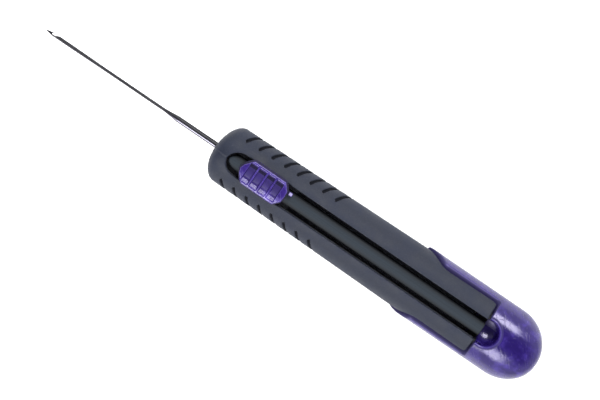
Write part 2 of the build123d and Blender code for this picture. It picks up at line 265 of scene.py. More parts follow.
def piece(name, field, grid, rim, shade):
    """A mesh object on the field's surface. Its attribute "edge" is 1 along edges rounded to rim,
    and "shade" is 1 where the shade function of a point puts painted shade on the surface."""
    points, quads, normals = surface(lambda s, y, z: field(s, y, z, SOFT), grid)
    sunk = -field(*points.T, SHARP) / (rim * (1 - math.sqrt(0.5)))
    mesh = bpy.data.meshes.new(name)
    mesh.vertices.add(len(points))
    place = (points + (NOSE_X, 0, 0)) * MM
    mesh.vertices.foreach_set("co", place.astype(np.float32).ravel())
    mesh.loops.add(quads.size)
    mesh.loops.foreach_set("vertex_index", quads.astype(np.int32).ravel())
    mesh.polygons.add(len(quads))
    mesh.polygons.foreach_set("loop_start", np.arange(0, quads.size, 4, dtype=np.int32))
    mesh.update(calc_edges=True)
    mesh.shade_smooth()
    mesh.normals_split_custom_set_from_vertices(normals.astype(np.float32).tolist())
    for mask, value in (("edge", sunk), ("shade", shade(*points.T))):
        layer = mesh.attributes.new(mask, "FLOAT", "POINT")
        layer.data.foreach_set("value", np.clip(value, 0, 1).astype(np.float32))
    made = bpy.data.objects.new(name, mesh)
    bpy.context.scene.collection.objects.link(made)
    print(name, len(points), "points", len(quads), "quads")
    return made


# ---- Forms shared by several pieces ----

def tip_rise(share):
    """Height of a dome's sections over the centre line. Share is 0 where the dome starts and 1 at
    its tip."""
    return TIP_RISE * np.minimum(share, 1) ** 2


def grip_outside(s, y, z):
    """Rubber grip's outer form, from the nose dome back, cut flat along the belly."""
    h = z - AXIS_Z
    share = np.clip((s - NOSE_LENGTH) / (GRIP_LENGTH - NOSE_LENGTH), 0, 1)
    half = GRIP_HALF_WIDTH + (GRIP_REAR_HALF_WIDTH - GRIP_HALF_WIDTH) * share
    ahead = np.maximum(NOSE_LENGTH - s, 0)
    form = ellipsoid(ahead, y, h - tip_rise(ahead / NOSE_LENGTH), NOSE_LENGTH, half, GRIP_HALF_HEIGHT)
    return np.maximum(form, -z)


def core_outside(s, y, z, room):
    """Core tray's outer form, grown by room."""
    form = ellipse(y, z - AXIS_Z, CORE_HALF_WIDTH + room, CORE_HALF_HEIGHT + room)
    return round_join(form, CORE_FRONT - room - s, CORE_FRONT_EDGE)


def cheek_outline(s, z):
    """Cheek in the side view: a strip whose front edge slants down and forward to a blunt tip."""
    past_the_butt = HANDLE_LENGTH + 10
    corners = [
        (CHEEK_UPPER_FRONT, CHEEK_HALF_HEIGHT),
        (CHEEK_FRONT, -CHEEK_TIP_DROP),
        (CHEEK_LOWER_FRONT, -CHEEK_HALF_HEIGHT),
        (past_the_butt, -CHEEK_HALF_HEIGHT),
        (past_the_butt, CHEEK_HALF_HEIGHT),
    ]
    return round_polygon(s, z - AXIS_Z, corners, CHEEK_CORNER)


def cheek_slant(s, z):
    """Distance in front of the cheek's slanted front edge, in the side view."""
    run, drop = CHEEK_UPPER_FRONT - CHEEK_FRONT, CHEEK_HALF_HEIGHT + CHEEK_TIP_DROP
    across = (CHEEK_UPPER_FRONT - s) * drop - (CHEEK_HALF_HEIGHT - z + AXIS_Z) * run
    return across / math.hypot(run, drop)


# ---- Rubber grip ----

GROOVE_COUNT = 8
GROOVE_PITCH = 3.8
GROOVE_FIRST = 5.9
GROOVE_RISE = 4.5
GROOVE_LEAN = 5.5
GROOVE_WIDTH = 0.82
GROOVE_DEPTH = 0.65
GROOVE_FLOOR_ROUND = 0.15
GROOVE_EDGE = 0.12
MOULD_LINE_WIDTH = 0.12
MOULD_LINE_HEIGHT = 0.07
MOULD_LINE_FADE = 0.5  # over which it dies away in front of the channel
GRIP_REAR_EDGE = 0.3
CHANNEL_EDGE = 0.35
BUSH_ROOM = 0.03
BUSH_EDGE = 0.2


def grip_field(s, y, z, soft):
    # A thin mould line runs over the nose to the channel.
    line = np.exp(-((y / MOULD_LINE_WIDTH) ** 2)) * np.clip((CHANNEL_FRONT - s) / MOULD_LINE_FADE, 0, 1)
    skin = grip_outside(s, y, z) - MOULD_LINE_HEIGHT * line * (z > AXIS_Z)
    grooves = None
    for number in range(GROOVE_COUNT):
        top = GROOVE_FIRST + number * GROOVE_PITCH
        start = (top, AXIS_Z + GROOVE_RISE)
        end = (top + GROOVE_LEAN, AXIS_Z - GROOVE_RISE)
        slit = capsule(s, z, start, end, GROOVE_WIDTH / 2)
        grooves = slit if grooves is None else np.minimum(grooves, slit)
    grooves = round_join(grooves, -(skin + GROOVE_DEPTH), GROOVE_FLOOR_ROUND)
    form = round_cut(skin, grooves, GROOVE_EDGE * soft)
    behind = fillet_union(cheek_outline(s, z) - PART_GAP, GRIP_END - s, GRIP_CORNER)
    form = round_cut(form, behind, GRIP_REAR_EDGE * soft)
    outline = pointed_strip(s, y, CHANNEL_FRONT, CHANNEL_NOSE, CHANNEL_HALF_WIDTH)
    form = round_cut(form, np.maximum(outline, CAVITY_ROOF - z), CHANNEL_EDGE * soft)
    form = np.maximum(form, -core_outside(s, y, z, CORE_ROOM))
    bush_hole = np.hypot(y, z - NEEDLE_Z) - BUSH_RADIUS - BUSH_ROOM
    return round_cut(form, bush_hole, BUSH_EDGE * soft)


def grip_shade(s, y, z):
    """Painted shade by depth under the grip's outer face: full in the flank grooves, less in the
    channel, and along the rear edge."""
    depth = np.clip(-grip_outside(s, y, z) / GROOVE_DEPTH * 1.5, 0, 1)
    beside_channel = CHANNEL_HALF_WIDTH + 0.95
    sunk = np.where(np.abs(y) > beside_channel, 1, 0.3) * depth
    return np.maximum(sunk, (s - GRIP_END + 0.2) / 0.2)


def make_grip():
    grid = (
        lines(
            (-0.3, 0.9, 0.1), (0.9, 41, 0.16), (41, 55, 1.0),
            (55, 64.6, 0.3), (64.6, 79.8, 1.0), (79.8, 81, 0.12),
        ),
        mirrored((0, 0.4, 0.08), (0.4, 2.4, 0.4), (2.4, 3.8, 0.1), (3.8, 9.1, 0.3)),
        lines((-0.2, 0.4, 0.12), (0.4, 2.2, 0.3), (2.2, 12.2, 0.2), (12.2, 13.6, 0.2), (13.6, 14.5, 0.1)),
    )
    return piece("grip_skin", grip_field, grid, 0.35, grip_shade)


# ---- End cap ----

PLUG_HALF_WIDTH = 3.55
PLUG_FRONT = 77.8
PLUG_FLOOR = 3.25
PLUG_TOP_IN_TRAY = 8.35
PLUG_TOP_BEHIND_TRAY = 13.6
PLUG_BITE = 0.4  # how far the plug reaches into the butt's solid end
TRAY_TAIL = 80.95
BUTT_FULLNESS = 0.03  # how much less the butt's sections shrink at their sides
CAP_CORNER = GRIP_CORNER + 0.3
CAP_EDGE = 0.45
WELL_FLOOR_ROUND = 0.2
WELL_EDGE = 0.8
FACET_WIDTH = 0.9  # of the cheek's slanted front facet, at its upper end
FACET_SPREAD = 0.26  # how much wider the facet gets for each unit further down


def well_field(s, y, z):
    """Round well in the cap: a cone over a dished floor."""
    around = np.hypot(s - WELL_STATION, y)
    lift = np.maximum(z - WELL_THROAT, 0)
    flare = (WELL_RIM - WELL_RADIUS) / (AXIS_Z + CAP_HALF_HEIGHT - WELL_THROAT)
    cone = (around - WELL_RADIUS - lift * flare) / math.hypot(1, flare)
    around_dish = np.hypot(s - WELL_STATION, y - WELL_DISH_OFFSET)
    dish_centre = WELL_THROAT + math.sqrt(WELL_DISH_RADIUS**2 - WELL_RADIUS**2)
    dish = np.hypot(around_dish, np.minimum(z - dish_centre, 0)) - WELL_DISH_RADIUS
    return round_join(cone, dish, WELL_FLOOR_ROUND)


def cap_field(s, y, z, soft):
    h = z - AXIS_Z
    behind = np.maximum(s - HANDLE_LENGTH + BUTT_LENGTH, 0)
    rise = tip_rise(behind / BUTT_LENGTH)
    fuller = behind * np.clip(1 - BUTT_FULLNESS * np.abs(y) / CAP_HALF_WIDTH, 0, 1)
    shell = ellipsoid(fuller, y, h - rise, BUTT_LENGTH, CAP_HALF_WIDTH, CAP_HALF_HEIGHT)
    shell = np.maximum(shell, -z)
    # The cheeks reach forward from the closed rear part.
    side = fillet_union(cheek_outline(s, z), GRIP_END + PART_GAP - s, CAP_CORNER)
    form = round_join(shell, side, CAP_EDGE * soft)
    core = np.maximum(core_outside(s, y, z, CORE_ROOM), s - CORE_REAR)
    form = np.maximum(form, -core)
    plug_top = np.where(s < TRAY_TAIL, PLUG_TOP_IN_TRAY, PLUG_TOP_BEHIND_TRAY)
    plug = np.maximum(span(s, PLUG_FRONT, CORE_REAR + PLUG_BITE), np.abs(y) - PLUG_HALF_WIDTH)
    plug = np.maximum(plug, span(z, PLUG_FLOOR, plug_top))
    form = np.minimum(form, plug)
    return round_cut(form, well_field(s, y, z), WELL_EDGE * soft)


def cap_shade(s, y, z):
    """Painted shade on the facet along each cheek's slanted front edge, widest at its lower end,
    on the cheek's upper and lower edges, on the edge behind the rubber, and on the well's wall, rim and
    +Y side."""
    facet = FACET_WIDTH + FACET_SPREAD * (CHEEK_HALF_HEIGHT - z + AXIS_Z)
    front = 1.25 + cheek_slant(s, z) / facet
    long_edges = 1.1 - (CHEEK_HALF_HEIGHT - np.abs(z - AXIS_Z)) / 0.35
    beside = np.where(s < GRIP_LENGTH, np.maximum(front, long_edges), 0)
    rear_edge = 1.0 - (s - GRIP_END - PART_GAP - 0.2) / 0.25
    rear_edge = np.where((s > GRIP_END) & (np.abs(z - AXIS_Z) > CHEEK_HALF_HEIGHT), rear_edge, 0)
    around = np.hypot(s - WELL_STATION, y)
    # Painted shade over the +Y side of the well's dish.
    floor = 0.6 * np.clip((y - 0.7) / 0.6, 0, 1)
    wall = np.where(around > WELL_RIM + 0.2, 0.6, 0.3)
    well = np.where(around < WELL_RADIUS - 0.1, floor, wall)
    well = well * np.clip((WELL_RIM + 1.1 - around) / 0.4, 0, 1)
    return np.maximum(beside, np.maximum(rear_edge, well))


def make_cap():
    grid = (
        lines((55, 64.8, 0.2), (64.8, 76.8, 0.8), (76.8, 86.8, 0.16), (86.8, 97.5, 0.3)),
        mirrored((0, 9.6, 0.2)),
        lines((-0.2, 0.4, 0.12), (0.4, 3.0, 0.3), (3.0, 11.2, 0.2), (11.2, 14.8, 0.12)),
    )
    return piece("cap_shell", cap_field, grid, 0.35, cap_shade)


# ---- Guide rail ----

RAIL_FOOT_FRONT = RAIL_FRONT + 1.0
RAIL_FOOT_REAR = RAIL_FRONT + 3.2
RAIL_FOOT_HALF_WIDTH = RAIL_HALF_WIDTH - 0.1
RAIL_FOOT_BOTTOM = 8.6
RAIL_TAB_BOTTOM = 8.4
RAIL_TAB_TOP = CAVITY_ROOF - 0.05
RAIL_TAB_HALF_WIDTH = 3.45
RAIL_TAB_LENGTH = 2.4
RAIL_NECK_BOTTOM = CAVITY_ROOF - 0.3
RAIL_BITE = 0.5  # how far the foot and the tab's neck reach up into the strip
RAIL_EDGE = 0.4
RAIL_END_EDGE = 0.25


def rail_field(s, y, z, soft):
    outline = pointed_strip(s, y, RAIL_FRONT, RAIL_NOSE, RAIL_HALF_WIDTH)
    radius = arc_radius(RAIL_HALF_WIDTH, RAIL_TOP - RAIL_SHOULDER)
    crown = np.hypot(y, z - RAIL_TOP + radius) - radius
    strip = round_join(outline, crown, RAIL_EDGE * soft)
    strip = round_join(strip, s - GRIP_LENGTH, RAIL_END_EDGE * soft)
    strip = np.maximum(strip, CAVITY_ROOF - z)
    foot = np.maximum(span(s, RAIL_FOOT_FRONT, RAIL_FOOT_REAR), np.abs(y) - RAIL_FOOT_HALF_WIDTH)
    foot = np.maximum(foot, span(z, RAIL_FOOT_BOTTOM, CAVITY_ROOF + RAIL_BITE))
    tab_reach = span(s, GRIP_LENGTH - RAIL_TAB_LENGTH, GRIP_LENGTH)
    tab = np.maximum(tab_reach, np.abs(y) - RAIL_TAB_HALF_WIDTH)
    tab = np.maximum(tab, span(z, RAIL_TAB_BOTTOM, RAIL_TAB_TOP))
    neck = np.maximum(tab_reach, np.abs(y) - RAIL_HALF_WIDTH)
    neck = np.maximum(neck, span(z, RAIL_NECK_BOTTOM, CAVITY_ROOF + RAIL_BITE))
    return np.minimum(np.minimum(strip, foot), np.minimum(tab, neck))


def rail_shade(s, y, z):
    """Painted shade towards the rail's two long edges, beside the channel's walls."""
    unshaded = 0.6
    return (np.abs(y) - unshaded) / (RAIL_HALF_WIDTH - unshaded)


def make_rail():
    grid = (
        lines((4.2, 9, 0.12), (9, 78, 1.0), (78, 81, 0.12)),
        mirrored((0, 3.6, 0.12)),
        lines((8.2, 10.0, 0.12), (10.0, 13.2, 0.4), (13.2, 14.2, 0.1)),
    )
    return piece("rail_strip", rail_field, grid, 0.25, rail_shade)


# ---- Thumb button ----

POCKET_COUNT = 4
POCKET_PITCH = 2.57
POCKET_HALF_WIDTH = 1.12
POCKET_DEPTH = 0.75
POCKET_HALF_LENGTH = 2.75
POCKET_NEAR_SLOPE = math.radians(22)  # of the floor's end towards -Y
POCKET_FAR_SLOPE = math.radians(45)  # of the floor's end towards +Y
POCKET_SIDE_LEAN = 0.3  # how far a pocket's sides lean out for each unit of height
POCKET_FLOOR_ROUND = 0.15
POCKET_EDGE = 0.12
BUTTON_EDGE = 0.16
BUTTON_UNDERSIDE_EDGE = 0.15
BUTTON_CORNER = 0.5
NIB_FRONT = 21.3
NIB_REAR = 22.7
NIB_Y = 1.3
NIB_HALF_WIDTH = 0.45
NIB_HEIGHT = 0.55
NIB_SLOPE = math.radians(26)
NIB_EDGE = 0.12
LEG_INSIDE = 2.05
LEG_OUTSIDE = 2.75
LEG_FRONT = 10.5
LEG_REAR = 19.5
LEG_BOTTOM = 5.4
LEG_BITE = 0.3  # how far the legs reach up into the pad
BARB_REACH = 3.1
BARB_HEIGHT = 0.8


def button_outline(along, y):
    """Pad seen from above: straight along both sides and drawn in towards both ends."""
    half = BUTTON_LENGTH / 2
    corners = [
        (half, 0), (half - 0.15, 1.7), (half - 1.9, BUTTON_HALF_WIDTH), (2.5 - half, BUTTON_HALF_WIDTH),
        (0.55 - half, 1.5), (-half, 0), (0.55 - half, -1.5), (2.5 - half, -BUTTON_HALF_WIDTH),
        (half - 1.9, -BUTTON_HALF_WIDTH), (half - 0.15, -1.7),
    ]
    return round_polygon(along, y, corners, BUTTON_CORNER)


def button_field(s, y, z, soft):
    along = s - (BUTTON_FRONT + BUTTON_LENGTH / 2)
    lean = np.clip((z - BUTTON_UNDERSIDE) / (BUTTON_SHOULDER - BUTTON_UNDERSIDE), 0, 1)
    outline = button_outline(along, y) + BUTTON_DRAFT * lean
    radius = arc_radius(BUTTON_HALF_WIDTH - BUTTON_DRAFT, BUTTON_CROWN - BUTTON_SHOULDER)
    crown = np.hypot(y, z - BUTTON_CROWN + radius) - radius
    # Pockets between the ribs, with sloping ends.
    last = POCKET_COUNT - 1
    number = np.clip(np.round(along / POCKET_PITCH + last / 2), 0, last)
    beside = np.abs(along - (number - last / 2) * POCKET_PITCH) - POCKET_HALF_WIDTH
    rim = z - (BUTTON_CROWN - radius + math.sqrt(radius**2 - POCKET_HALF_LENGTH**2))
    near = (-y - POCKET_HALF_LENGTH) * math.sin(POCKET_NEAR_SLOPE) - rim * math.cos(POCKET_NEAR_SLOPE)
    far = (y - POCKET_HALF_LENGTH) * math.sin(POCKET_FAR_SLOPE) - rim * math.cos(POCKET_FAR_SLOPE)
    sides = (beside - POCKET_SIDE_LEAN * crown) / math.hypot(1, POCKET_SIDE_LEAN)
    floor = round_join(np.maximum(near, far), -(crown + POCKET_DEPTH), POCKET_FLOOR_ROUND)
    pocket = round_join(sides, floor, POCKET_FLOOR_ROUND)
    pad = round_join(outline, round_cut(crown, pocket, POCKET_EDGE * soft), BUTTON_EDGE * soft)
    pad = round_join(pad, BUTTON_UNDERSIDE - z, BUTTON_UNDERSIDE_EDGE * soft)
    leg_length = span(s, LEG_FRONT, LEG_REAR)
    leg = np.maximum(span(np.abs(y), LEG_INSIDE, LEG_OUTSIDE), leg_length)
    leg = np.maximum(leg, span(z, LEG_BOTTOM, BUTTON_UNDERSIDE + LEG_BITE))
    barb = np.maximum(span(np.abs(y), LEG_INSIDE, BARB_REACH), leg_length)
    barb = np.maximum(barb, span(z, LEG_BOTTOM, LEG_BOTTOM + BARB_HEIGHT))
    nib = np.maximum(span(s, NIB_FRONT, NIB_REAR), np.abs(y - NIB_Y) - NIB_HALF_WIDTH)
    top = (z - BUTTON_UNDERSIDE - NIB_HEIGHT) * math.cos(NIB_SLOPE) + (y - NIB_Y) * math.sin(NIB_SLOPE)
    nib = round_join(nib, np.maximum(top, BUTTON_UNDERSIDE - z), NIB_EDGE * soft)
    return np.minimum(np.minimum(pad, nib), np.minimum(leg, barb))


def button_shade(s, y, z):
    """Painted shade on the button's walls under its crown's rim and on its pockets' floors, but not on
    its nib.
    """
    half_width = BUTTON_HALF_WIDTH - BUTTON_DRAFT
    crown = BUTTON_CROWN - y**2 * (BUTTON_CROWN - BUTTON_SHOULDER) / half_width**2
    deepest = np.where(y > 1.5, 1, 0.4)
    floor = np.clip(2 * (crown - z) / POCKET_DEPTH - 0.6, 0, deepest) * np.clip((y + 1.9) / 0.5, 0, 1)
    past_ribs = np.abs(s - BUTTON_FRONT - BUTTON_LENGTH / 2) > POCKET_PITCH * POCKET_COUNT / 2 + 0.2
    past_pockets = past_ribs | (np.abs(y) > POCKET_HALF_LENGTH + 0.1)
    wall = np.where(past_pockets, (BUTTON_SHOULDER - 0.05 - z) / 0.2, 0)
    return np.where(s > BUTTON_REAR + 0.1, 0, np.maximum(wall, floor))


def make_button():
    grid = (
        lines((7.3, 22.9, 0.1)),
        mirrored((0, 3.9, 0.1)),
        lines((5.2, 6.6, 0.14), (6.6, 14.0, 0.6), (14.0, 15.0, 0.1), (15.0, 16.5, 0.07)),
    )
    return piece("thumb_button", button_field, grid, 0.18, button_shade)


# ---- Hook needle ----

SHANK_RADIUS = 0.8
HEAD_RADIUS = 0.5
BLADE_RADIUS = 0.42
NEEDLE_PROFILE = [  # station, radius
    (-51.6, 0.0), (-51.35, 0.12), (-49.5, HEAD_RADIUS), (-43.6, HEAD_RADIUS), (-33.6, BLADE_RADIUS),
    (-15.5, BLADE_RADIUS), (-11.5, SHANK_RADIUS), (22.0, SHANK_RADIUS),
]
HOOK_THROAT = [(-49.8, 0.1), (-49.65, -0.08), (-48.85, -0.1), (-47.3, 0.7), (-48.95, 0.7)]  # station, y
THROAT_CORNER = 0.08
THROAT_EDGE = 0.04


def needle_radius(s):
    return np.interp(s, *zip(*NEEDLE_PROFILE))


def needle_field(s, y, z, soft):
    form = np.hypot(y, z - NEEDLE_Z) - needle_radius(s)
    form = np.maximum(form, span(s, NEEDLE_PROFILE[0][0], NEEDLE_PROFILE[-1][0]))
    # The hook's throat is cut right through and open to +Y.
    throat = round_polygon(s, y, HOOK_THROAT, THROAT_CORNER)
    return round_cut(form, throat, THROAT_EDGE * soft)


def needle_shade(s, y, z):
    """Painted shade: the needle's steel is painted near-black, apart from a painted highlight stripe
    along its -Y side, which lies further out on the blade than on the shank."""
    radius = needle_radius(s)
    stripe = np.interp(radius, (HEAD_RADIUS, SHANK_RADIUS), (0.95, 0.46))
    return (np.abs(y / np.maximum(radius, 0.1) + stripe) - 0.12) / 0.12


def make_needle():
    grid = (
        lines(
            (-51.75, -47.2, 0.05), (-47.2, -43, 0.3), (-43, -16, 0.8),
            (-16, -11, 0.2), (-11, 21.6, 0.8), (21.6, 22.2, 0.1),
        ),
        lines((-0.9, 0.9, 0.06)),
        NEEDLE_Z + lines((-0.9, 0.9, 0.06)),
    )
    return piece("needle", needle_field, grid, 0.05, needle_shade)


# ---- Materials ----

class Finish:
    """A material with one Principled shader, and short calls that add the nodes that feed it."""

    def __init__(self, name, **plain):
        self.material = bpy.data.materials.new(name)
        self.material.use_nodes = True
        self.tree = self.material.node_tree
        self.tree.nodes.clear()
        output = self.add("ShaderNodeOutputMaterial")
        self.shader = self.add("ShaderNodeBsdfPrincipled")
        self.tree.links.new(self.shader.outputs[0], output.inputs["Surface"])
        for socket, value in plain.items():
            self.shader.inputs[socket.replace("_", " ")].default_value = value
        coordinates = self.add("ShaderNodeTexCoord")
        self.place = self.scaled(coordinates.outputs["Object"], 1000, 1000, 1000)  # millimetres

    def add(self, kind, **settings):
        made = self.tree.nodes.new(kind)
        for name, value in settings.items():
            setattr(made, name, value)
        return made

    def feed(self, socket, value):
        if isinstance(value, bpy.types.NodeSocket):
            self.tree.links.new(value, socket)
        else:
            socket.default_value = value

    def set(self, socket, value):
        self.feed(self.shader.inputs[socket], value)

    def scaled(self, vector, x, y, z):
        made = self.add("ShaderNodeMapping")
        self.feed(made.inputs["Vector"], vector)
        made.inputs["Scale"].default_value = (x, y, z)
        return made.outputs[0]

    def turned(self, vector, angles):
        made = self.add("ShaderNodeMapping")
        self.feed(made.inputs["Vector"], vector)
        made.inputs["Rotation"].default_value = [math.radians(a) for a in angles]
        return made.outputs[0]

    def noise(self, vector, scale, detail=4.0, rough=0.55, warp=0.0):
        made = self.add("ShaderNodeTexNoise")
        self.feed(made.inputs["Vector"], vector)
        made.inputs["Scale"].default_value = scale
        made.inputs["Detail"].default_value = detail
        made.inputs["Roughness"].default_value = rough
        made.inputs["Distortion"].default_value = warp
        return made.outputs[0]

    def cells(self, vector, scale):
        made = self.add("ShaderNodeTexVoronoi")
        self.feed(made.inputs["Vector"], vector)
        made.inputs["Scale"].default_value = scale
        return made.outputs["Distance"]

    def math(self, operation, a, b):
        made = self.add("ShaderNodeMath", operation=operation)
        self.feed(made.inputs[0], a)
        self.feed(made.inputs[1], b)
        return made.outputs[0]

    def between(self, value, low, high, to_low=0.0, to_high=1.0):
        """Value carried smoothly from the range low..high to the range to_low..to_high."""
        made = self.add("ShaderNodeMapRange", interpolation_type="SMOOTHSTEP")
        for socket, number in zip(made.inputs, (value, low, high, to_low, to_high)):
            self.feed(socket, number)
        return made.outputs[0]

    def mix(self, share, a, b):
        made = self.add("ShaderNodeMix", data_type="RGBA")
        self.feed(made.inputs[0], share)
        self.feed(made.inputs[6], a if isinstance(a, bpy.types.NodeSocket) else (*a, 1))
        self.feed(made.inputs[7], b if isinstance(b, bpy.types.NodeSocket) else (*b, 1))
        return made.outputs[2]

    def attribute(self, name):
        return self.add("ShaderNodeAttribute", attribute_name=name).outputs["Fac"]

    def along(self):
        """The part's X in millimetres."""
        split = self.add("ShaderNodeSeparateXYZ")
        self.feed(split.inputs[0], self.place)
        return split.outputs["X"]

    def bump(self, *layers):
        """Bumps from pairs of a height and its depth in millimetres."""
        normal = None
        for height, depth in layers:
            made = self.add("ShaderNodeBump")
            made.inputs["Strength"].default_value = 1.0
            made.inputs["Distance"].default_value = depth * MM
            self.feed(made.inputs["Height"], height)
            if normal is not None:
                self.feed(made.inputs["Normal"], normal)
            normal = made.outputs[0]
        self.set("Normal", normal)


def rubber(name):
    """Soft dark rubber: matt, faintly blue, finely pebbled, with pale dust, rounded edges paled partly by
    wear and partly as painted highlight, and painted shade in its grooves, channel and rear edge.
    """
    f = Finish(name, Specular_IOR_Level=0.35, IOR=1.5)
    patches = f.noise(f.place, 0.22, 5, 0.6)
    grain = f.noise(f.place, 3.2, 3, 0.6)
    colour = f.mix(f.between(patches, 0.35, 0.68), (0.0042, 0.0078, 0.0215), (0.0078, 0.0122, 0.0295))
    colour = f.mix(f.between(grain, 0.45, 0.75, 0, 0.3), colour, (0.032, 0.036, 0.052))
    specks = f.between(f.cells(f.place, 1.1), 0.10, 0.06)
    chosen = f.between(f.noise(f.place, 0.9, 2), 0.58, 0.66)
    dust = f.math("MULTIPLY", f.math("MULTIPLY", specks, chosen), 0.30)
    colour = f.mix(dust, colour, (0.12, 0.125, 0.15))
    # Rounded edges paled, partly by wear and partly as painted highlight.
    edge = f.attribute("edge")
    wear_and_highlight = f.between(f.noise(f.place, 1.4, 4), 0.35, 0.7, 0.2, 0.75)
    colour = f.mix(f.math("MULTIPLY", edge, wear_and_highlight), colour, (0.040, 0.044, 0.060))
    dashes = f.between(f.noise(f.scaled(f.place, 0.55, 0.1, 0.1), 1.0, 4, 0.75), 0.54, 0.60)
    dashes = f.math("MULTIPLY", f.math("POWER", edge, 4.0), dashes)
    colour = f.mix(dashes, colour, (0.11, 0.115, 0.14))
    # Painted shade in the grooves, the channel and along the rear edge.
    f.set("Base Color", f.mix(f.attribute("shade"), colour, (0.0012, 0.0020, 0.0060)))
    rough = f.between(patches, 0.3, 0.7, 0.56, 0.68)
    f.set("Roughness", f.math("MAXIMUM", rough, f.attribute("shade")))
    f.bump((f.noise(f.place, 9.0, 3, 0.6), 0.010), (grain, 0.012))
    return f.material


def rail_plastic(name):
    """Hard charcoal plastic with a satin face, rubbed lengthwise by the slide."""
    f = Finish(name, Specular_IOR_Level=0.3, IOR=1.5)
    streaks = f.noise(f.scaled(f.place, 0.05, 4.0, 4.0), 1.0, 4, 0.6)
    grain = f.noise(f.place, 6.0, 3, 0.6)
    colour = f.mix(f.between(streaks, 0.35, 0.7), (0.0113, 0.0170, 0.0248), (0.0178, 0.0255, 0.0360))
    # Painted shade towards the rail's long edges.
    colour = f.mix(f.attribute("shade"), colour, (0.0022, 0.0032, 0.0050))
    f.set("Base Color", colour)
    f.set("Roughness", f.between(streaks, 0.3, 0.7, 0.66, 0.78))
    f.bump((streaks, 0.006), (grain, 0.006))
    return f.material


def tray_plastic(name):
    """Plain grey moulded plastic of the inner parts, painted lighter to stand in for light in the deep
    channel, with painted black shade under the cap's seam.
    """
    f = Finish(name, Specular_IOR_Level=0.4, IOR=1.5)
    grain = f.noise(f.place, 4.0, 4, 0.6)
    # Grey painted lighter than the plastic, as light that the deep channel lacks.
    colour = f.mix(f.between(grain, 0.4, 0.7), (0.16, 0.165, 0.20), (0.22, 0.23, 0.27))
    # Painted shade under the cap's seam.
    seam = f.between(f.along(), NOSE_X + GRIP_END - 0.6, NOSE_X + GRIP_END - 0.2)
    f.set("Base Color", f.mix(seam, colour, (0.004, 0.003, 0.010)))
    f.set("Roughness", f.between(grain, 0.3, 0.7, 0.5, 0.68))
    f.bump((grain, 0.010))
    return f.material


def glossy_purple(name, deep, mid, pale, shadow, rough, shadow_rough):
    """Translucent-looking purple plastic with flow marks, fine scratches and painted highlights on its
    rounded edges. Where the surface is shaded, it takes the painted shadow colour, and its roughness
    rises to shadow_rough."""
    f = Finish(name, Specular_IOR_Level=0.6, IOR=1.5, Subsurface_Weight=0.08, Subsurface_Scale=0.001)
    f.shader.inputs["Specular Tint"].default_value = (0.82, 0.78, 1.0, 1)
    f.shader.inputs["Subsurface Radius"].default_value = (0.8, 0.5, 1.6)
    flow = f.noise(f.scaled(f.turned(f.place, (0, 0, 12)), 0.16, 0.6, 0.6), 1.0, 5, 0.62, 0.6)
    cloud = f.noise(f.place, 0.35, 3)
    colour = f.mix(f.between(flow, 0.35, 0.68), deep, mid)
    colour = f.mix(f.between(cloud, 0.5, 0.75, 0, 0.35), colour, pale)
    # Painted highlight along rounded edges, in the pale colour.
    edge = f.math("MULTIPLY", f.attribute("edge"), f.between(cloud, 0.3, 0.7, 0.3, 0.6))
    colour = f.mix(edge, colour, pale)
    f.set("Base Color", f.mix(f.attribute("shade"), colour, shadow))
    hair = f.noise(f.scaled(f.turned(f.place, (0, 0, 50)), 0.10, 1.7, 0.5), 1.0, 3, 0.7)
    cross = f.noise(f.scaled(f.turned(f.place, (0, 0, -24)), 0.15, 2.4, 0.6), 1.0, 3, 0.7)
    scratches = f.math("MAXIMUM", f.between(hair, 0.57, 0.66), f.between(cross, 0.62, 0.72))
    worn = f.between(flow, 0.3, 0.7, rough, rough + 0.08)
    worn = f.math("ADD", worn, f.math("MULTIPLY", scratches, 0.12))
    shaded = f.math("MULTIPLY", f.attribute("shade"), shadow_rough)
    f.set("Roughness", f.math("MAXIMUM", worn, shaded))
    f.bump((flow, 0.02), (scratches, -0.008), (f.noise(f.place, 2.5, 3), 0.004))
    return f.material


def polished_steel(name, colour, rough):
    """Drawn and polished steel with fine lengthwise grain."""
    f = Finish(name, Metallic=1.0)
    grain = f.noise(f.scaled(f.place, 0.25, 18.0, 18.0), 1.0, 4, 0.65)
    stain = f.noise(f.place, 0.5, 4)
    dark = [c * 0.72 for c in colour]
    f.set("Base Color", f.mix(f.between(stain, 0.35, 0.7), colour, dark))
    f.set("Roughness", f.between(grain, 0.3, 0.7, rough, rough + 0.14))
    f.bump((grain, 0.004))
    return f.material


def needle_steel(name):
    """Steel painted near-black as shade, with a painted highlight stripe along one side."""
    f = Finish(name, Specular_IOR_Level=0.25, IOR=1.5)
    grain = f.noise(f.scaled(f.place, 0.15, 6.0, 6.0), 1.0, 3, 0.6)
    dark = f.mix(f.between(grain, 0.35, 0.7), (0.004, 0.004, 0.008), (0.009, 0.009, 0.015))
    painted_highlight = f.mix(f.between(grain, 0.3, 0.7), (0.20, 0.19, 0.24), (0.30, 0.29, 0.35))
    # The stripe is a painted highlight, and the near-black rest is painted shade.
    f.set("Base Color", f.mix(f.attribute("shade"), painted_highlight, dark))
    f.set("Metallic", f.math("SUBTRACT", 1.0, f.attribute("shade")))
    f.set("Roughness", f.between(grain, 0.3, 0.7, 0.30, 0.42))
    f.bump((grain, 0.001))
    return f.material


def turned_brass(name):
    """Brass with fine turning rings round its length."""
    f = Finish(name, Metallic=1.0)
    rings = f.noise(f.scaled(f.place, 14.0, 0.3, 0.3), 1.0, 3, 0.6)
    stain = f.noise(f.place, 0.8, 4)
    f.set("Base Color", f.mix(f.between(stain, 0.35, 0.7), (0.60, 0.42, 0.16), (0.44, 0.29, 0.10)))
    f.set("Roughness", f.between(rings, 0.3, 0.7, 0.22, 0.36))
    f.bump((rings, 0.004))
    return f.material


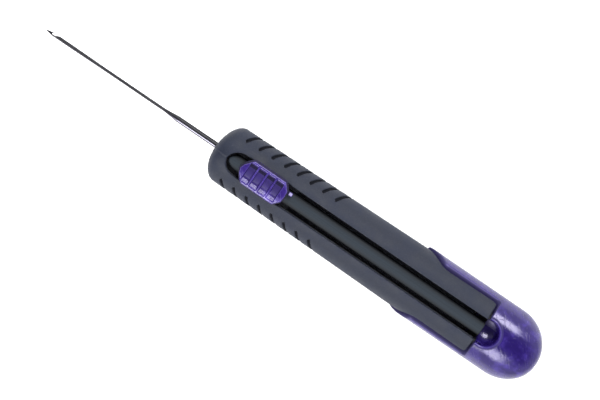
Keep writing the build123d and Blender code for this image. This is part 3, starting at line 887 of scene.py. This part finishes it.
def pale_floor(name):
    f = Finish(name, Specular_IOR_Level=0.2, Roughness=0.9)
    grain = f.noise(f.place, 0.02, 3)
    f.set("Base Color", f.mix(f.between(grain, 0.3, 0.7), (0.90, 0.90, 0.90), (0.93, 0.93, 0.93)))
    f.set("Emission Color", (1, 1, 1, 1))
    f.set("Emission Strength", 0.42)
    return f.material


def dress(obj, material):
    obj.data.materials.clear()
    obj.data.materials.append(material)


# ---- Pieces on their bodies ----

CAP_PURPLE = glossy_purple(
    "cap_purple",
    deep=(0.012, 0.005, 0.080),
    mid=(0.021, 0.010, 0.125),
    pale=(0.075, 0.045, 0.34),
    shadow=(0.006, 0.003, 0.050),
    rough=0.15,
    shadow_rough=0.75,
)
BUTTON_PURPLE = glossy_purple(
    "button_purple",
    deep=(0.020, 0.009, 0.110),
    mid=(0.033, 0.016, 0.165),
    # pale is also the colour of the painted highlights on the button's rounded edges
    pale=(0.20, 0.15, 0.58),
    shadow=(0.003, 0.001, 0.022),
    rough=0.20,
    shadow_rough=1.0,
)

NEW_PIECES = [  # maker, body, replaced node, slot, material
    (make_grip, "handle", "grip_sleeve", "soft_rubber", rubber("soft_rubber_skin")),
    (make_cap, "handle", "end_cap", "purple_cap", CAP_PURPLE),
    (make_rail, "handle", "guide_rail", "dark_plastic", rail_plastic("rail_charcoal")),
    (make_button, "slider", "slide_button", "purple_button", BUTTON_PURPLE),
    # The needle's material carries painted shade and a painted highlight stripe.
    (make_needle, "slider", "hook_needle", "needle_steel", needle_steel("needle_painted_steel")),
]
for maker, body, node, slot, material in NEW_PIECES:
    made = maker()
    dress(made, material)
    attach(made, body)
    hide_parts(node)

KEPT_NODES = {
    "core_tray": tray_plastic("tray_grey"),
    "nose_bush": polished_steel("bush_polish", (0.50, 0.50, 0.52), 0.22),
    "slide_carriage": tray_plastic("carriage_grey"),
    "detent_spring": polished_steel("spring_polish", (0.58, 0.57, 0.55), 0.2),
    "needle_chuck": turned_brass("chuck_turned_brass"),
    "chuck_screw": polished_steel("screw_polish", (0.35, 0.35, 0.37), 0.28),
}
for node, material in KEPT_NODES.items():
    dress(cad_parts[node], material)


# ---- Floor, light and camera ----

def add_floor():
    size = 4.0
    mesh = bpy.data.meshes.new("floor")
    corners = [(-size, -size, 0), (size, -size, 0), (size, size, 0), (-size, size, 0)]
    mesh.from_pydata(corners, [], [(0, 1, 2, 3)])
    floor = bpy.data.objects.new("floor", mesh)
    bpy.context.scene.collection.objects.link(floor)
    dress(floor, pale_floor("floor_white"))


def add_softbox(name, lean, distance, width, length, power):
    """Area light over the tool, leaning by an angle from straight up towards +Y."""
    data = bpy.data.lights.new(name, "AREA")
    data.shape = "RECTANGLE"
    data.size = length
    data.size_y = width
    data.energy = power
    lamp = bpy.data.objects.new(name, data)
    bpy.context.scene.collection.objects.link(lamp)
    towards = Vector((0, math.sin(lean), math.cos(lean)))
    lamp.location = towards * distance
    lamp.rotation_euler = (-lean, 0, 0)


def add_world():
    """White surround, brightest near the horizon and dimmer overhead."""
    world = bpy.data.worlds.new("surround")
    bpy.context.scene.world = world
    world.use_nodes = True
    tree = world.node_tree
    background = tree.nodes["Background"]
    place = tree.nodes.new("ShaderNodeTexCoord")
    split = tree.nodes.new("ShaderNodeSeparateXYZ")
    ramp = tree.nodes.new("ShaderNodeMapRange")
    ramp.interpolation_type = "SMOOTHSTEP"
    ramp.inputs["From Min"].default_value = 0.35
    ramp.inputs["From Max"].default_value = 0.95
    ramp.inputs["To Min"].default_value = 1.25
    ramp.inputs["To Max"].default_value = 0.12
    tree.links.new(place.outputs["Generated"], split.inputs[0])
    tree.links.new(split.outputs[2], ramp.inputs["Value"])
    tree.links.new(ramp.outputs[0], background.inputs["Strength"])
    background.inputs["Color"].default_value = (1, 1, 1, 1)


CAMERA_ROLL = math.radians(34.2)  # of the tool's length below the horizontal
CAMERA_TILT = math.radians(7.2)  # of the view towards the tool's +Y side
CAMERA_AHEAD = math.radians(1.5)  # of the view towards the needle
CAMERA_DISTANCE = 0.878
CAMERA_TARGET = Vector(((NOSE_X + 25.1) * MM, 0.00052, 0.0071))


def add_camera():
    data = bpy.data.cameras.new("camera")
    data.sensor_width = 36
    data.lens = 210
    camera = bpy.data.objects.new("camera", data)
    bpy.context.scene.collection.objects.link(camera)
    back = Vector((-math.sin(CAMERA_AHEAD), math.sin(CAMERA_TILT), math.cos(CAMERA_TILT))).normalized()
    along = (Vector((1, 0, 0)) - back * back.x).normalized()
    across = back.cross(along)
    right = along * math.cos(CAMERA_ROLL) + across * math.sin(CAMERA_ROLL)
    up = across * math.cos(CAMERA_ROLL) - along * math.sin(CAMERA_ROLL)
    place = CAMERA_TARGET + back * CAMERA_DISTANCE
    camera.matrix_world = Matrix((
        (right.x, up.x, back.x, place.x),
        (right.y, up.y, back.y, place.y),
        (right.z, up.z, back.z, place.z),
        (0, 0, 0, 1),
    ))
    data.clip_start = 0.01
    data.clip_end = 20
    bpy.context.scene.camera = camera


add_floor()
add_softbox("light_far_side", math.radians(45.5), distance=0.7, width=0.22, length=0.34, power=4.2)
add_softbox("light_near_side", math.radians(-41.0), distance=0.7, width=0.32, length=0.34, power=4.8)
add_world()
add_camera()
bpy.context.scene.view_settings.view_transform = "Standard"
